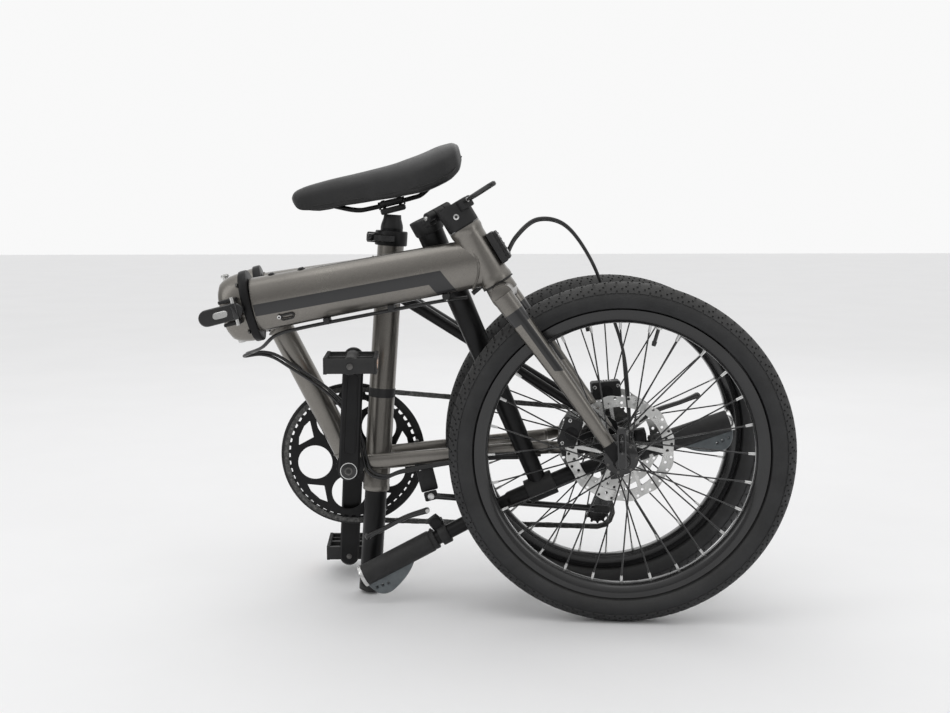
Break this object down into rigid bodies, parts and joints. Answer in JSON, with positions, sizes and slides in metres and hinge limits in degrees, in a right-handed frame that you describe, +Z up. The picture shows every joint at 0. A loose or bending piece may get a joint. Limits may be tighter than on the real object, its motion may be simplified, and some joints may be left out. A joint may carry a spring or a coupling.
{
  "type": "folding bicycle",
  "caption": "Folding bicycle stored folded: hinged main tube, folding handlepost, disc brakes, platform pedals, derailleur drive and telescoping seatpost.",
  "frame": {"origin": "centre of the bounding box in plan, at floor level (lowest point of the tyres and the seatpost foot)", "axes": "the folded bicycle as it stands: +X from the hinge towards the two wheels, +Y towards the drive side (rear half behind, folded front half in front at -Y), +Z up"},
  "size_m": [0.8462, 0.4138, 0.6952],
  "materials": {
    "frame_paint": "satin bronze-grey paint",
    "black_alloy": "black anodised, satin",
    "bright_alloy": "brushed",
    "steel": "plain",
    "rubber": "matt black",
    "tyre": "matt black tread",
    "black_plastic": "moulded black",
    "saddle_cover": "stitched black synthetic leather over foam"
  },
  "bodies": {
    "rear_frame": {"seat_tube": "frame_paint", "rear_main_tube": "frame_paint", "bb_shell": "frame_paint", "brace_tube": "frame_paint", "rear_hinge_casting": "frame_paint", "frame_hinge_pin": "steel", "rear_stays_left": "frame_paint", "rear_stays_right": "frame_paint", "seat_clamp": "black_alloy", "rear_axle": "steel", "rear_brake_caliper": "black_alloy", "magnet_catch": "black_plastic", "rear_derailleur": "black_alloy", "frame_cables": "rubber", "chain": "steel"},
    "seatpost_assembly": {"seatpost": "black_alloy", "seatpost_foot": "rubber", "saddle_clamp": "black_alloy", "saddle_cover": "saddle_cover", "saddle_shell": "black_plastic", "saddle_rails": "steel"},
    "kickstand": {"kickstand": "black_alloy"},
    "seat_clamp_lever": {"seat_clamp_lever": "black_alloy"},
    "rear_wheel": {"rear_tyre": "tyre", "rear_rim": "black_alloy", "rear_hub_and_spokes": "bright_alloy", "rear_rotor": "steel"},
    "cassette": {"cassette": "steel"},
    "crankset": {"bb_spindle": "steel", "crank_left": "black_alloy", "crank_right": "black_alloy", "chainring": "black_alloy", "chain_guard": "black_plastic"},
    "pedal_left": {"pedal_left": "black_plastic"},
    "pedal_right": {"pedal_right": "black_plastic"},
    "derailleur_cage": {"derailleur_cage": "black_alloy"},
    "front_frame": {"front_main_tube": "frame_paint", "head_tube": "frame_paint", "front_hinge_casting": "frame_paint", "luggage_block": "black_plastic", "bar_cables": "rubber"},
    "frame_latch_lever": {"frame_latch_lever": "black_alloy"},
    "fork_assembly": {"fork": "black_alloy", "front_axle": "steel", "front_brake_caliper": "black_alloy", "handlepost_base": "black_alloy"},
    "front_wheel": {"front_tyre": "tyre", "front_rim": "black_alloy", "front_hub_and_spokes": "bright_alloy", "front_rotor": "steel"},
    "front_qr_lever": {"front_qr_lever": "black_alloy"},
    "handlepost_latch_lever": {"handlepost_latch_lever": "black_alloy"},
    "handlepost_assembly": {"handlepost": "black_alloy", "handlebar": "black_alloy", "grip_left": "rubber", "grip_right": "rubber", "brake_perch_left": "black_alloy", "brake_perch_right": "black_alloy"},
    "brake_lever_left": {"brake_lever_left": "black_alloy"},
    "brake_lever_right": {"brake_lever_right": "black_alloy"}
  },
  "joints": [
    {"name": "frame_fold", "type": "hinge", "parent": "rear_frame", "child": "front_frame", "pos_m": [-0.3871, -0.02163, 0.44986], "axis": [0.2419, 0, -0.9703], "range_deg": [0, 173], "deforming": ["frame_cables"]},
    {"name": "steer", "type": "hinge", "parent": "front_frame", "child": "fork_assembly", "pos_m": [0.0083, -0.11999, 0.47939], "axis": [-0.5203, 0.0366, 0.8532], "range_deg": [-3, 5]},
    {"name": "handlepost_fold", "type": "hinge", "parent": "fork_assembly", "child": "handlepost_assembly", "pos_m": [-0.08521, -0.09057, 0.59223], "axis": [0.6673, 0.6571, 0.3507], "range_deg": [0, 0.35], "deforming": ["bar_cables"]},
    {"name": "handlepost_latch", "type": "hinge", "parent": "fork_assembly", "child": "handlepost_latch_lever", "pos_m": [-0.0398, -0.14777, 0.61301], "axis": [0.6673, 0.6571, 0.3507], "range_deg": [0, 90]},
    {"name": "frame_latch", "type": "hinge", "parent": "front_frame", "child": "frame_latch_lever", "pos_m": [-0.37253, -0.11264, 0.4535], "axis": [-0.2419, 0, 0.9703], "range_deg": [0, 160]},
    {"name": "front_wheel_spin", "type": "hinge", "parent": "fork_assembly", "child": "front_wheel", "pos_m": [0.17545, -0.13303, 0.24796], "axis": [-0.1182, -0.9925, -0.0295], "continuous": true},
    {"name": "front_qr_swing", "type": "hinge", "parent": "fork_assembly", "child": "front_qr_lever", "pos_m": [0.16723, -0.20201, 0.24591], "axis": [0.9631, -0.1219, 0.2401], "range_deg": [0, 180]},
    {"name": "seatpost_slide", "type": "slide", "parent": "rear_frame", "child": "seatpost_assembly", "axis": [0.068, 0, 0.9977], "range_m": [0, 0.25]},
    {"name": "seat_clamp_swing", "type": "hinge", "parent": "rear_frame", "child": "seat_clamp_lever", "pos_m": [-0.18541, 0.01287, 0.55397], "axis": [-0.068, 0, -0.9977], "range_deg": [0, 120]},
    {"name": "kickstand_swing", "type": "hinge", "parent": "rear_frame", "child": "kickstand", "pos_m": [-0.096, -0.01713, 0.16276], "axis": [0, 1, 0], "range_deg": [0, 95]},
    {"name": "rear_wheel_spin", "type": "hinge", "parent": "rear_frame", "child": "rear_wheel", "pos_m": [0.17545, 0.02837, 0.24796], "axis": [0, 1, 0], "continuous": true},
    {"name": "crank_turn", "type": "hinge", "parent": "rear_frame", "child": "crankset", "pos_m": [-0.21869, 0.02837, 0.20843], "axis": [0, -1, 0], "range_deg": [-34, 150]},
    {"name": "freewheel", "type": "hinge", "parent": "rear_frame", "child": "cassette", "pos_m": [0.17545, 0.02837, 0.24796], "axis": [0, -1, 0], "range_deg": [-131.3, 562.1]},
    {"name": "pedal_spin_left", "type": "hinge", "parent": "crankset", "child": "pedal_left", "pos_m": [-0.2098, -0.04163, 0.3782], "axis": [0, 1, 0], "continuous": true},
    {"name": "pedal_spin_right", "type": "hinge", "parent": "crankset", "child": "pedal_right", "pos_m": [-0.22759, 0.09837, 0.03866], "axis": [0, 1, 0], "continuous": true},
    {"name": "cage_swing", "type": "hinge", "parent": "rear_frame", "child": "derailleur_cage", "pos_m": [0.20403, 0.08537, 0.18294], "axis": [0, 1, 0], "range_deg": [-8, 20], "stiffness_Nm_per_rad": 3, "deforming": ["chain"]},
    {"name": "brake_pull_left", "type": "hinge", "parent": "handlepost_assembly", "child": "brake_lever_left", "pos_m": [0.2142, -0.04799, 0.27485], "axis": [-0.1249, 0.9369, 0.3266], "range_deg": [0, 20], "stiffness_Nm_per_rad": 0.6, "springref_deg": -14.32},
    {"name": "brake_pull_right", "type": "hinge", "parent": "handlepost_assembly", "child": "brake_lever_right", "pos_m": [-0.09885, -0.04277, 0.14018], "axis": [0.1249, -0.9369, -0.3266], "range_deg": [0, 20], "stiffness_Nm_per_rad": 0.6, "springref_deg": -14.32}
  ],
  "couplings": [
    {"joint": "freewheel", "follows": "crank_turn", "ratio": 3.7143}
  ]
}
